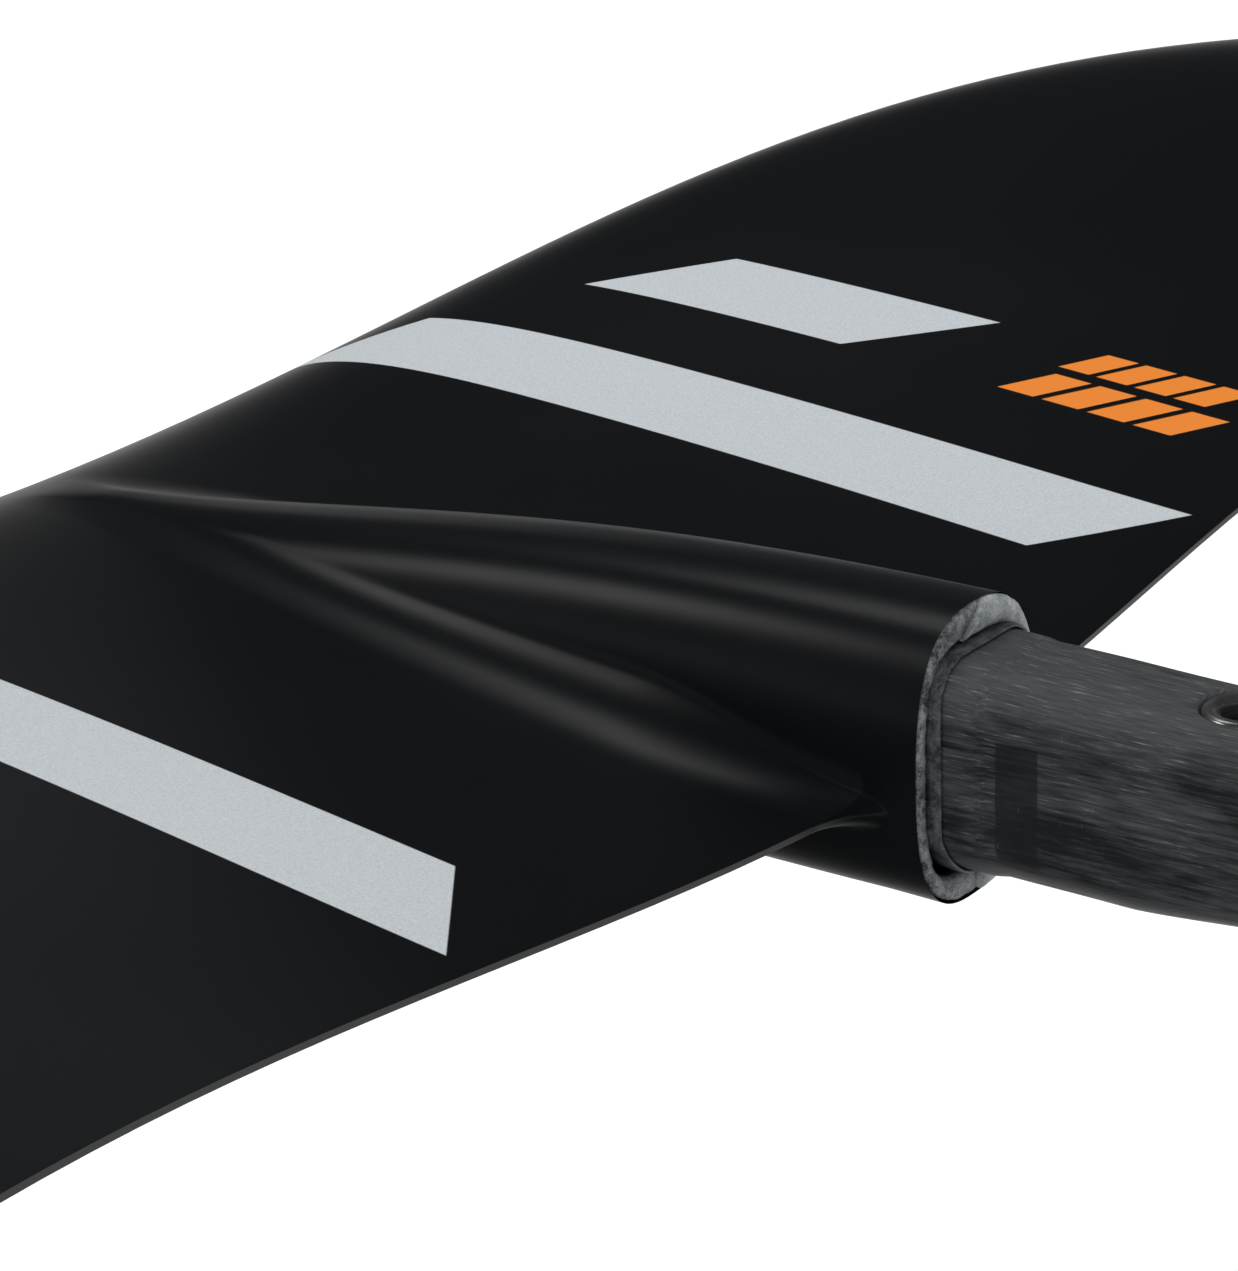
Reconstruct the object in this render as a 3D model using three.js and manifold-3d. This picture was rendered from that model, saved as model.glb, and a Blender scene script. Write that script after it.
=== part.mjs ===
// Front wing of a hydrofoil: a moulded carbon wing with a central nacelle, and a raw carbon tenon
// that plugs into the fuselage. Millimetres. +X is starboard, +Y is the flight direction, +Z is up,
// and the origin is the middle of the tenon's flat end face.
import * as THREE from 'three';
import { mergeVertices } from 'three/addons/utils/BufferGeometryUtils.js';
import Module from 'manifold-3d';

const wasm = await Module();
wasm.setup();
const { Manifold, Mesh: SolidMesh } = wasm;

// ---- Wing planform ----
const semiSpan = 375;
const rootChord = 200;
const tipSetback = 31; // how far the tip lies behind the root's trailing edge
const leadingPower = 2.2;
const trailingForward = 161; // first two terms of the trailing edge's S-curve, at the tip
const trailingAft = 625;
const tipShare = 0.996; // the last section, as a share of the half span
const wingRise = 36; // highest point of the dihedral above the root
const risePeak = 300; // distance from the centre line where it lies

// ---- Wing section, as weights of a rounded-nose, pointed-tail thickness form ----
const upperWeights = [0.25, 0.117, 0.143, 0.089];
const lowerWeights = [0.17, 0.1, 0.085, 0.04];
const trailingThickness = 1;

// ---- Nacelle ----
const shoulderSide = 3.8; // step from the tenon out to the nacelle, at the sides
const shoulderTop = 5.5; // and at the top and bottom
const nacelleRoundness = 2.45; // superellipse exponent of its section
const nacelleFullness = 2.2; // how long it keeps its full size towards the nose
const nacelleBluntness = 0.6; // how blunt its nose is
const nacelleStations = [0.15, 0.3, 0.45, 0.6, 0.72, 0.83, 0.91, 0.965]; // shares of its length
const nacelleSides = 28;
const shoulderSides = 48;
const shoulderOverhang = 10.5; // shoulder face behind the root's trailing edge
const chordDrop = 5.8; // root chord line below the nacelle's axis
const noseSetback = 9; // nacelle nose behind the root's leading edge

// ---- Tenon ----
const tenonLength = 110; // from the shoulder to the end face
const tenonWidth = 24;
const tenonHeight = 33.4;
const tenonEndWidth = 17;
const tenonEndTop = 15; // end face above the axis
const tenonEndBottom = 6; // end face below the axis
const tenonStraight = 28; // stretch behind the shoulder where the underside is straight
const tenonCorner = 6;
const tenonCornerShare = 0.3; // of the width, at most
const tenonCurlPower = 1.2; // how gradually the underside curls up
const embedWidth = 17; // inner end of the tenon
const embedHeight = 25;

// ---- Walls and clearances ----
const skinWall = 1.6;
const gap = 0.3;
const bondLine = 0.5; // adhesive between the skins and what they hold
const bandLength = 3.5; // raw laminate edge at the shoulder
const bandStep = 0.6; // the starboard half stands this much proud of the port half
const wrapWall = 0.9; // glass wrap round the tenon's root
const wrapLength = 5.5;
const wrapReach = 2.5; // of the wrap, behind the shoulder face

// ---- Inner structure ----
const capThickness = 1.4;
const capFront = 0.24; // shares of the chord, from the leading edge
const capBack = 0.42;
const webFront = 0.32;
const webBack = 0.335;
const noseStripFront = 0.03;
const noseStripBack = 0.055;
const tailStripFront = 0.71;
const tailStripBack = 0.78;
const tenonInner = 0.49; // share of the root chord where the tenon's inner end meets the root block
const capSpan = 285; // half length of the spar
const coreSpan = 315; // half length of the foam cores
const tipBlockSpan = 340;
const tipNoseShare = 0.01; // the tip blocks are shorter along the chord than the hollow, by these
const tipTailShare = 0.1;
const rootBlockWidth = 23.6; // across, with a station of the wing on either side
const noseCoreLength = 20;

// ---- Threaded inserts for the fuselage bolts ----
const insertBore = 6.8; // M8 tapping size
const insertDiameter = 12;
const insertLength = 14;
const insertOffsets = [34, 68]; // from the tenon's end face

// ---- Derived sizes and places ----
const tipSweep = rootChord + tipSetback; // of the leading edge
const trailingHook = trailingAft - trailingForward - tipSetback; // the S-curve's last term
const nacelleWidth = tenonWidth + 2 * shoulderSide;
const nacelleHeight = tenonHeight + 2 * shoulderTop;
const shoulderY = tenonLength;
const trailingY = shoulderY + shoulderOverhang;
const leadingY = trailingY + rootChord;
const noseY = leadingY - noseSetback;
const tenonEmbed = leadingY - rootChord * tenonInner - shoulderY; // from the shoulder to its inner end
const coreInboard = rootBlockWidth / 2 + gap;
const reach = 2 * semiSpan; // large enough to pass the whole wing when cutting

// ---- Wing formulas ----
function riseAt(x) {
  return (wingRise * (1 - Math.cos((Math.PI * x) / risePeak))) / 2 - chordDrop;
}

function leadingEdge(x) {
  const share = Math.min(Math.abs(x) / semiSpan, 1);
  return leadingY - tipSweep * (1 - Math.sqrt(1 - share ** leadingPower));
}

function trailingEdge(x) {
  const share = Math.min(Math.abs(x) / semiSpan, 1);
  return trailingY + trailingForward * share ** 2 - trailingAft * share ** 3 + trailingHook * share ** 4;
}

function thicknessForm(share, weights) {
  const rest = 1 - share;
  const blend =
    weights[0] * rest ** 3 +
    3 * weights[1] * share * rest ** 2 +
    3 * weights[2] * share ** 2 * rest +
    weights[3] * share ** 3;
  return Math.sqrt(share) * rest * blend;
}

// A point of the wing's section at x: share runs from the leading to the trailing edge, and inset
// moves the point into the wing.
function wingPoint(x, share, side, inset) {
  const chord = leadingEdge(x) - trailingEdge(x);
  const weights = side > 0 ? upperWeights : lowerWeights;
  const height = chord * thicknessForm(share, weights) + (trailingThickness / 2) * share - inset;
  return new THREE.Vector3(x, leadingEdge(x) - chord * share, riseAt(x) + side * height);
}

// ---- Meshes and solids ----
function signedVolume(geometry) {
  const position = geometry.attributes.position;
  const index = geometry.index.array;
  const corner = [new THREE.Vector3(), new THREE.Vector3(), new THREE.Vector3()];
  let volume = 0;
  for (let start = 0; start < index.length; start += 3) {
    corner.forEach((point, k) => point.fromBufferAttribute(position, index[start + k]));
    volume += corner[0].dot(corner[1].cross(corner[2])) / 6;
  }
  return volume;
}

// Closed skin through equal rings of points, with a flat cap on each end.
function loft(rings) {
  const count = rings[0].length;
  const positions = rings.flat().flatMap((point) => [point.x, point.y, point.z]);
  const faces = [];
  for (let ring = 0; ring < rings.length - 1; ring += 1) {
    for (let k = 0; k < count; k += 1) {
      const next = (k + 1) % count;
      const low = ring * count;
      const high = low + count;
      faces.push([low + k, low + next, high + next], [low + k, high + next, high + k]);
    }
  }
  const last = (rings.length - 1) * count;
  for (const face of capFaces(rings[0])) faces.push([face[2], face[1], face[0]]);
  for (const face of capFaces(rings.at(-1))) faces.push(face.map((k) => k + last));
  const geometry = new THREE.BufferGeometry();
  geometry.setAttribute('position', new THREE.Float32BufferAttribute(positions, 3));
  geometry.setIndex(faces.flat());
  if (signedVolume(geometry) < 0) {
    geometry.setIndex(faces.flatMap((face) => [face[2], face[1], face[0]]));
  }
  return geometry;
}

// Triangles of a flat ring, drawn in whichever plane it lies square to: X or Y.
function capFaces(ring) {
  const alongX = Math.abs(ring[0].x - ring[1].x) < 1e-6 && Math.abs(ring[0].x - ring[2].x) < 1e-6;
  const flat = ring.map((point) => new THREE.Vector2(alongX ? point.y : -point.x, point.z));
  const turned = THREE.ShapeUtils.isClockWise(flat);
  const faces = THREE.ShapeUtils.triangulateShape(turned ? [...flat].reverse() : flat, []);
  if (!turned) return faces;
  return faces.map((face) => face.map((k) => flat.length - 1 - k).reverse());
}

function toSolid(geometry) {
  const bare = new THREE.BufferGeometry();
  bare.setAttribute('position', geometry.attributes.position);
  if (geometry.index) bare.setIndex(geometry.index);
  const merged = mergeVertices(bare, 1e-4);
  const vertProperties = new Float32Array(merged.attributes.position.array);
  const triVerts = new Uint32Array(merged.index.array);
  return new Manifold(new SolidMesh({ numProp: 3, vertProperties, triVerts }));
}

function toGeometry(solid) {
  const mesh = solid.getMesh();
  const geometry = new THREE.BufferGeometry();
  const positions = new Float32Array(mesh.vertProperties);
  geometry.setAttribute('position', new THREE.BufferAttribute(positions, 3));
  geometry.setIndex(new THREE.BufferAttribute(new Uint32Array(mesh.triVerts), 1));
  geometry.computeVertexNormals();
  return geometry;
}

function boxSolid(low, high) {
  const size = high.map((value, k) => value - low[k]);
  const box = new THREE.BoxGeometry(...size);
  box.translate(...high.map((value, k) => (value + low[k]) / 2));
  return toSolid(box);
}

function uprightCylinder(radius, lowZ, highZ, y) {
  const sides = 24;
  const cylinder = new THREE.CylinderGeometry(radius, radius, highZ - lowZ, sides);
  cylinder.rotateX(Math.PI / 2);
  cylinder.translate(0, y, (lowZ + highZ) / 2);
  return toSolid(cylinder);
}

// ---- Section outlines ----
function steps(low, high, count) {
  return Array.from({ length: count + 1 }, (_, k) => low + ((high - low) * k) / count);
}

// Stations along the half span, closer together towards the tip, where the planform curls in. All
// pieces share them, so that their faces run parallel.
const stationCount = 17;
const outerStations = steps(0, 1, stationCount).map((t) => {
  return semiSpan * tipShare * Math.sin((t * Math.PI) / 2);
});
const halfSpanStations = [0, rootBlockWidth / 2, ...outerStations.filter((x) => x > rootBlockWidth)];

function stationsBetween(inboard, outboard) {
  const shortest = 2; // of a bay at either end
  const between = halfSpanStations.filter((x) => x > inboard + shortest && x < outboard - shortest);
  return [inboard, ...between, outboard];
}

function fullSpan(halfStations) {
  const port = halfStations.map((x) => -x).reverse();
  return [...port.slice(0, -1), ...halfStations];
}

// Closed outline of the wing between two shares of the chord, inset by a wall.
function wingRing(x, shares, inset) {
  const upper = shares.map((share) => wingPoint(x, share, 1, inset));
  const lower = shares.map((share) => wingPoint(x, share, -1, inset));
  return [...upper, ...lower.reverse()];
}

function sharesBetween(front, back, count) {
  return steps(Math.sqrt(front), Math.sqrt(back), count).map((root) => root * root);
}

function superellipse(y, halfWidth, halfHeight, exponent, sides, lift = 0) {
  return steps(0, 2 * Math.PI, sides).slice(0, -1).map((angle) => {
    const across = Math.cos(angle);
    const up = Math.sin(angle);
    const power = 2 / exponent;
    return new THREE.Vector3(
      halfWidth * Math.sign(across) * Math.abs(across) ** power,
      y,
      lift + halfHeight * Math.sign(up) * Math.abs(up) ** power,
    );
  });
}

// Upright rectangle with round corners, at one place along the tenon.
function roundedRing(y, halfWidth, top, bottom, radius) {
  const arcSteps = 3;
  const centreX = halfWidth - radius;
  const corners = [
    [centreX, top - radius],
    [-centreX, top - radius],
    [-centreX, bottom + radius],
    [centreX, bottom + radius],
  ];
  return corners.flatMap(([x, z], quarter) =>
    steps(quarter, quarter + 1, arcSteps).map((turn) => {
      const angle = (turn * Math.PI) / 2;
      return new THREE.Vector3(x + radius * Math.cos(angle), y, z + radius * Math.sin(angle));
    }),
  );
}

// The tenon's outline at the shoulder, this much larger all round.
function collarRing(y, clear) {
  const halfHeight = tenonHeight / 2 + clear;
  return roundedRing(y, tenonWidth / 2 + clear, halfHeight, -halfHeight, tenonCorner + clear);
}

// ---- Bodies ----
function wingBody() {
  const stations = fullSpan(halfSpanStations);
  const shares = sharesBetween(0.0005, 1, 11);
  return toSolid(loft(stations.map((x) => wingRing(x, shares, 0))));
}

function wingVoid(inset, span) {
  const stations = fullSpan(stationsBetween(0, span));
  const shares = sharesBetween(noseStripFront, tailStripBack, 16);
  return toSolid(loft(stations.map((x) => wingRing(x, shares, inset))));
}

// The nacelle's middle falls from the tenon's axis to the wing's chord line at its nose.
function nacelleDrop(y) {
  return (-chordDrop * Math.max(y - shoulderY, 0)) / (noseY - shoulderY);
}

// The nacelle narrows to its nose as a quarter of a superellipse.
function nacelleBody(inset, aftY) {
  const length = noseY - shoulderY;
  const places = [aftY, ...nacelleStations.map((share) => shoulderY + length * share)];
  const rings = places.map((y) => {
    const share = Math.max((y - shoulderY) / length, 0);
    const slim = (1 - share ** nacelleFullness) ** nacelleBluntness;
    const halfWidth = (nacelleWidth / 2) * slim - inset;
    const halfHeight = (nacelleHeight / 2) * slim - inset;
    return superellipse(y, halfWidth, halfHeight, nacelleRoundness, nacelleSides, nacelleDrop(y));
  });
  return toSolid(loft(rings));
}

// Everything above (side 1) or below (side -1) the mould's parting surface.
function partingSide(side) {
  const profile = fullSpan([...halfSpanStations, semiSpan]).map((x) => {
    return new THREE.Vector2(x, riseAt(x) + (side * gap) / 2);
  });
  const far = side * reach;
  const shape = new THREE.Shape([
    ...profile,
    new THREE.Vector2(profile.at(-1).x, far),
    new THREE.Vector2(profile[0].x, far),
  ]);
  const slab = new THREE.ExtrudeGeometry(shape, { depth: 2 * reach, bevelEnabled: false });
  slab.rotateX(Math.PI / 2);
  slab.translate(0, leadingY + reach, 0);
  return toSolid(slab);
}

function skinShell() {
  const frontOfBand = shoulderY + bandLength + gap;
  const outside = wingBody().add(nacelleBody(0, frontOfBand));
  const inside = wingVoid(skinWall, tipBlockSpan).add(nacelleBody(skinWall, shoulderY - bandLength));
  return outside.subtract(inside);
}

function shoulderBand(side) {
  const aftY = shoulderY - (side > 0 ? bandStep : 0);
  const frontY = shoulderY + bandLength;
  const outer = [aftY, frontY].map((y) => {
    return superellipse(y, nacelleWidth / 2, nacelleHeight / 2, nacelleRoundness, shoulderSides);
  });
  const inner = [aftY - 1, frontY + 1].map((y) => collarRing(y, wrapWall + 2 * gap));
  const half = side > 0
    ? boxSolid([gap / 2, aftY - 1, -reach], [reach, frontY + 1, reach])
    : boxSolid([-reach, aftY - 1, -reach], [-gap / 2, frontY + 1, reach]);
  return toSolid(loft(outer)).subtract(toSolid(loft(inner))).intersect(half);
}

// Behind the shoulder the tenon tapers and its underside curls up; ahead of it the root narrows
// with the nacelle.
function tenonRing(y) {
  const behind = Math.max(shoulderY - y, 0);
  const ahead = Math.max(y - shoulderY, 0) / tenonEmbed;
  const taper = behind / tenonLength;
  const curl = Math.max(behind - tenonStraight, 0) / (tenonLength - tenonStraight);
  const farWidth = behind > 0 ? tenonEndWidth : embedWidth;
  const width = THREE.MathUtils.lerp(tenonWidth, farWidth, taper + ahead);
  const rootHalf = THREE.MathUtils.lerp(tenonHeight, embedHeight, ahead) / 2;
  const drop = nacelleDrop(y);
  const top = THREE.MathUtils.lerp(rootHalf, tenonEndTop, taper) + drop;
  const bottom = -THREE.MathUtils.lerp(rootHalf, tenonEndBottom, curl ** tenonCurlPower) + drop;
  return roundedRing(y, width / 2, top, bottom, Math.min(tenonCorner, width * tenonCornerShare));
}

function tenonTopAt(y) {
  return THREE.MathUtils.lerp(tenonHeight / 2, tenonEndTop, (shoulderY - y) / tenonLength);
}

function tenon() {
  const tail = steps(0, shoulderY - tenonStraight, 6);
  const places = [...tail, shoulderY, shoulderY + tenonEmbed];
  let solid = toSolid(loft(places.map(tenonRing)));
  for (const y of insertOffsets) {
    const top = tenonTopAt(y);
    const floor = top - insertLength - 2 * gap;
    solid = solid.subtract(uprightCylinder(insertDiameter / 2 + gap, floor, top + tenonHeight, y));
  }
  return solid;
}

function threadedInsert(y) {
  const top = tenonTopAt(y) - gap;
  const low = top - insertLength;
  const sleeve = uprightCylinder(insertDiameter / 2, low, top, y);
  return sleeve.subtract(uprightCylinder(insertBore / 2, low - 1, top + 1, y));
}

function tenonWrap() {
  const aftY = shoulderY - wrapReach;
  const frontY = aftY + wrapLength;
  const outer = loft([aftY, frontY].map((y) => collarRing(y, gap + wrapWall)));
  const inner = loft([aftY - 1, frontY + 1].map((y) => collarRing(y, gap)));
  return toSolid(outer).subtract(toSolid(inner));
}

const coreInset = skinWall + bondLine;
const capInset = coreInset + capThickness;

function sparCap(side) {
  const stations = fullSpan(stationsBetween(0, capSpan));
  const shares = steps(capFront, capBack, 3);
  return loft(stations.map((x) => [
    ...shares.map((share) => wingPoint(x, share, side, coreInset)),
    ...[...shares].reverse().map((share) => wingPoint(x, share, side, capInset)),
  ]));
}

function halfStations(side, outboard) {
  return stationsBetween(coreInboard, outboard).map((x) => side * x);
}

function shearWeb(side) {
  const stations = halfStations(side, capSpan);
  return loft(stations.map((x) => wingRing(x, [webFront, webBack], capInset + gap)));
}

// Foam between two shares of the chord, stepped down where the spar caps lie on it.
function foamCore(side, front, back, stepShare, stepFirst) {
  const clearance = gap / rootChord;
  const outer = (shares) => shares.map((share) => [share, coreInset]);
  const inner = (shares) => shares.map((share) => [share, capInset + gap]);
  const stepBack = stepShare + clearance;
  const stepFront = stepShare - clearance;
  const knots = stepFirst
    ? [...inner([front, stepBack]), ...outer(sharesBetween(stepBack, back, 4))]
    : [...outer(sharesBetween(front, stepFront, 4)), ...inner([stepFront, back])];
  return loft(halfStations(side, coreSpan).map((x) => [
    ...knots.map(([share, inset]) => wingPoint(x, share, 1, inset)),
    ...[...knots].reverse().map(([share, inset]) => wingPoint(x, share, -1, inset)),
  ]));
}

function bondStrip(side, front, back) {
  const stations = halfStations(side, coreSpan);
  return loft(stations.map((x) => wingRing(x, [front, back], coreInset + gap / 2)));
}

function tipBlock(side) {
  const stations = stationsBetween(coreSpan + gap, tipBlockSpan - gap).map((x) => side * x);
  const shares = sharesBetween(noseStripFront + tipNoseShare, tailStripBack - tipTailShare, 6);
  return loft(stations.map((x) => wingRing(x, shares, coreInset)));
}

// Blocks between the two halves of the wing, inside the nacelle.
function centreBlock(front, back, inset) {
  const stations = [-rootBlockWidth / 2, 0, rootBlockWidth / 2];
  return loft(stations.map((x) => wingRing(x, sharesBetween(front, back, 4), inset)));
}

function rootBlock() {
  return centreBlock(capFront, tenonInner - gap / rootChord, capInset + gap);
}

function noseCore() {
  const back = capFront - gap / rootChord;
  return centreBlock(back - noseCoreLength / rootChord, back, coreInset + gap);
}

// ---- Materials ----
function finish(color, roughness, metalness) {
  return new THREE.MeshStandardMaterial({ color, roughness, metalness });
}

const glossBlack = () => finish(0x0e1114, 0.25, 0);
const rawCarbon = () => finish(0x44484c, 0.55, 0.1);
const sandedLaminate = () => finish(0x8d9296, 0.6, 0);
const glassWrap = () => finish(0x6d7276, 0.5, 0);
const foam = () => finish(0xd8cfa8, 0.9, 0);
const filler = () => finish(0xb9a884, 0.7, 0);
const stainless = () => finish(0xb8bcc0, 0.3, 1);

// ---- Assembly ----
const group = new THREE.Group();

function place(name, shape, material) {
  const geometry = shape.isBufferGeometry ? shape : toGeometry(shape);
  const mesh = new THREE.Mesh(geometry, material);
  mesh.name = name;
  group.add(mesh);
}

const clearShare = gap / rootChord;
const stripEndShare = 0.002; // what the bond strips keep clear of the hollow's ends

const shell = skinShell();
place('upper_skin', shell.intersect(partingSide(1)), glossBlack());
place('lower_skin', shell.intersect(partingSide(-1)), glossBlack());
place('tenon', tenon(), rawCarbon());
place('tenon_root_wrap', tenonWrap(), glassWrap());
place('root_block', rootBlock(), rawCarbon());
place('nacelle_nose_core', noseCore(), foam());
place('spar_cap_upper', sparCap(1), rawCarbon());
place('spar_cap_lower', sparCap(-1), rawCarbon());
place('threaded_insert_aft', threadedInsert(insertOffsets[0]), stainless());
place('threaded_insert_fore', threadedInsert(insertOffsets[1]), stainless());

for (const [name, side] of [['port', -1], ['starboard', 1]]) {
  place(`shoulder_band_${name}`, shoulderBand(side), sandedLaminate());
  place(`shear_web_${name}`, shearWeb(side), rawCarbon());
  const nose = foamCore(side, noseStripBack + clearShare, webFront - clearShare, capFront, false);
  place(`foam_nose_${name}`, nose, foam());
  const tail = foamCore(side, webBack + clearShare, tailStripFront - clearShare, capBack, true);
  place(`foam_tail_${name}`, tail, foam());
  const noseStrip = bondStrip(side, noseStripFront + stripEndShare, noseStripBack);
  place(`leading_edge_strip_${name}`, noseStrip, filler());
  const tailStrip = bondStrip(side, tailStripFront, tailStripBack - stripEndShare);
  place(`trailing_edge_strip_${name}`, tailStrip, filler());
  place(`tip_block_${name}`, tipBlock(side), filler());
}

export default group;
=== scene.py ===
# %% [markdown]
# # The front wing of a hydrofoil, with the tenon that plugs into its fuselage
#
# The real object is a moulded carbon wing, painted satin black. A long nacelle runs down its
# middle, and a raw, sanded carbon tenon leaves the back of the nacelle.
#
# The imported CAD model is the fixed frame. Everything here is in metres, with X to starboard, Y in
# the flight direction and Z up, and the origin in the middle of the tenon's flat end face.

import math

import bmesh
import bpy
from mathutils import Matrix, Vector, noise


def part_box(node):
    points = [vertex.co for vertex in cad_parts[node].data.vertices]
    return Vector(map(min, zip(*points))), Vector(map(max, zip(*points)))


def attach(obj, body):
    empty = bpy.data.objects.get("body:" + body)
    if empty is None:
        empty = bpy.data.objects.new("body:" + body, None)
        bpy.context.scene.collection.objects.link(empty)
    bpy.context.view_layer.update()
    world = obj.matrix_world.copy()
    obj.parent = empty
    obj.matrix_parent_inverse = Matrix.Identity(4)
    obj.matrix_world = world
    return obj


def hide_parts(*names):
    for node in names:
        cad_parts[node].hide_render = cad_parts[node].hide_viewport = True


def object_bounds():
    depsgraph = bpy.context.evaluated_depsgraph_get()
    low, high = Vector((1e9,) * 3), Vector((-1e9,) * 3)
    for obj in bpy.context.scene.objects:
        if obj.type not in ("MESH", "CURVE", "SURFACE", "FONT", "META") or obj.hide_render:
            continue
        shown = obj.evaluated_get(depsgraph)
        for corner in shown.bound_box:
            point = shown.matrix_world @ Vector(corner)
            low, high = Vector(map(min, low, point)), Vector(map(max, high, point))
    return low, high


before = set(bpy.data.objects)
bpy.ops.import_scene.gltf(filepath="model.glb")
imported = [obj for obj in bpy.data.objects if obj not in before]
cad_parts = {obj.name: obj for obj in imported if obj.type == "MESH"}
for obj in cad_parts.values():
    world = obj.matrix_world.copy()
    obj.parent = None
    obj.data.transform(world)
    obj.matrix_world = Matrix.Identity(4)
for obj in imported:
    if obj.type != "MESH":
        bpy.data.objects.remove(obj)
cad_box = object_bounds()
print("CAD box:", [list(corner) for corner in cad_box])

# %% [markdown]
# ## The camera
#
# A long lens, a little way off, flattens the perspective. The camera is put in place by the direction
# that it looks from, rather than turned by hand, so each value has a meaning: the azimuth and
# elevation, the lean of the frame, and the distance.

# %% Camera
CAMERA_AZIMUTH = math.radians(-51.41)
CAMERA_ELEVATION = math.radians(21.22)
CAMERA_LEAN = math.radians(-2.627)
CAMERA_DISTANCE = 0.5039
CAMERA_TARGET = Vector((0.00025, 0.17552, 0.0042))
SENSOR_WIDTH = 36
FOCAL_LENGTH = 92.8
SIDE_SHIFT = 0.0042
NEAR_LIMIT = 0.01


def camera_axes(azimuth, elevation, lean):
    """The camera's right, up and back directions."""
    level = math.cos(elevation)
    back = Vector((math.sin(azimuth) * level, -math.cos(azimuth) * level, math.sin(elevation)))
    right = Vector((math.cos(azimuth), math.sin(azimuth), 0))
    up = back.cross(right)
    leaned_right = right * math.cos(lean) + up * math.sin(lean)
    leaned_up = up * math.cos(lean) - right * math.sin(lean)
    return leaned_right, leaned_up, back


right, up, back = camera_axes(CAMERA_AZIMUTH, CAMERA_ELEVATION, CAMERA_LEAN)
camera_data = bpy.data.cameras.new("camera")
camera_data.sensor_width = SENSOR_WIDTH
camera_data.lens = FOCAL_LENGTH
camera_data.shift_x = SIDE_SHIFT
camera_data.clip_start = NEAR_LIMIT
camera = bpy.data.objects.new("camera", camera_data)
camera.matrix_world = Matrix((right, up, back)).transposed().to_4x4()
camera.location = CAMERA_TARGET + back * CAMERA_DISTANCE
bpy.context.scene.collection.objects.link(camera)
bpy.context.scene.camera = camera
print("camera at", tuple(round(value, 3) for value in camera.location))

# %% [markdown]
# ## The wing's own formulas
#
# A foil is easier to draw with formulas than by pushing points: the planform, the dihedral and the
# section's thickness are three short curves, and every part of the wing reads the same three. They
# are the formulas of the CAD model, so the painted surface lies on its solid.

# %% Wing formulas
MM = 0.001
# The CAD wing stops just short of the pointed tip that the formulas reach.
CAD_TIP_SHARE = 0.996
HALF_SPAN = cad_box[1].x / CAD_TIP_SHARE
SHOULDER_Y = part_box("shoulder_band_port")[0].y
ROOT_CHORD = 200 * MM
TRAILING_Y = SHOULDER_Y + 10.5 * MM
LEADING_Y = TRAILING_Y + ROOT_CHORD
NOSE_Y = LEADING_Y - 9 * MM
CHORD_DROP = 5.8 * MM
WING_RISE = 36 * MM
RISE_PEAK = 300 * MM
TIP_SWEEP = 231 * MM
LEADING_POWER = 2.2
# Terms of the trailing edge's curve in the span, from the second power up.
TRAILING_CURVE = (161 * MM, -625 * MM, 433 * MM)
TRAILING_FIRST_POWER = 2
# Fullness of the section above and below its chord, from the nose to the tail.
UPPER_WEIGHTS = (0.25, 0.117, 0.143, 0.089)
LOWER_WEIGHTS = (0.17, 0.1, 0.085, 0.04)
# The trailing edge is blunt, and gets thinner where the chord is short.
EDGE_HALF = 0.5 * MM
EDGE_THINS_UNDER = 40 * MM


def lerp(low, high, amount):
    return low + (high - low) * amount


def smooth_step(low, high, value):
    amount = min(max((value - low) / (high - low), 0), 1)
    return amount * amount * (3 - 2 * amount)


def rise_at(x):
    return WING_RISE * (1 - math.cos(math.pi * x / RISE_PEAK)) / 2 - CHORD_DROP


def leading_edge(x):
    share = min(x / HALF_SPAN, 1)
    return LEADING_Y - TIP_SWEEP * (1 - math.sqrt(1 - share**LEADING_POWER))


def trailing_edge(x):
    share = min(x / HALF_SPAN, 1)
    hook = sum(
        term * share ** (power + TRAILING_FIRST_POWER) for power, term in enumerate(TRAILING_CURVE)
    )
    return TRAILING_Y + hook


def thickness_form(share, weights):
    rest = 1 - share
    blend = weights[0] * rest**3 + 3 * weights[1] * share * rest**2
    blend += 3 * weights[2] * share**2 * rest + weights[3] * share**3
    return math.sqrt(share) * rest * blend


def wing_z(x, share, side):
    chord = max(leading_edge(x) - trailing_edge(x), 0)
    weights = UPPER_WEIGHTS if side > 0 else LOWER_WEIGHTS
    edge = EDGE_HALF * share * min(chord / EDGE_THINS_UNDER, 1)
    return rise_at(x) + side * (chord * thickness_form(share, weights) + edge)


print("root section is", round((wing_z(0, 0.3, 1) - wing_z(0, 0.3, -1)) / MM, 1), "mm thick")

# %% [markdown]
# ## The nacelle and its fillet
#
# The nacelle is a boxy superellipse across. Its ridge leaves the wing's nose tangentially and climbs
# in an S-curve to the shoulder, and its flanks flow into the wing through a concave fillet that
# grows towards the trailing edge, where it wraps round onto the flank. A boolean union with a bevel
# would give a wrinkled seam here. One continuous sheet, whose rows run from the ridge down the flank,
# through the fillet and out to the wing's tip, gives clean highlights instead.

# %% Nacelle formulas
NACELLE_HALF_WIDTH = 15.6 * MM
NACELLE_ROUNDNESS = 2.7
# Two powers each: how late the curve turns in towards the nose, and how blunt it ends there.
WIDTH_SLIMMING = (2.4, 0.5)
KEEL_SLIMMING = (2.2, 0.6)
RIDGE_Z = 22.9 * MM
RIDGE_FALL = 15.2 * MM
RIDGE_CURVE = 1.25
KEEL_Z = 22.2 * MM
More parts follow.
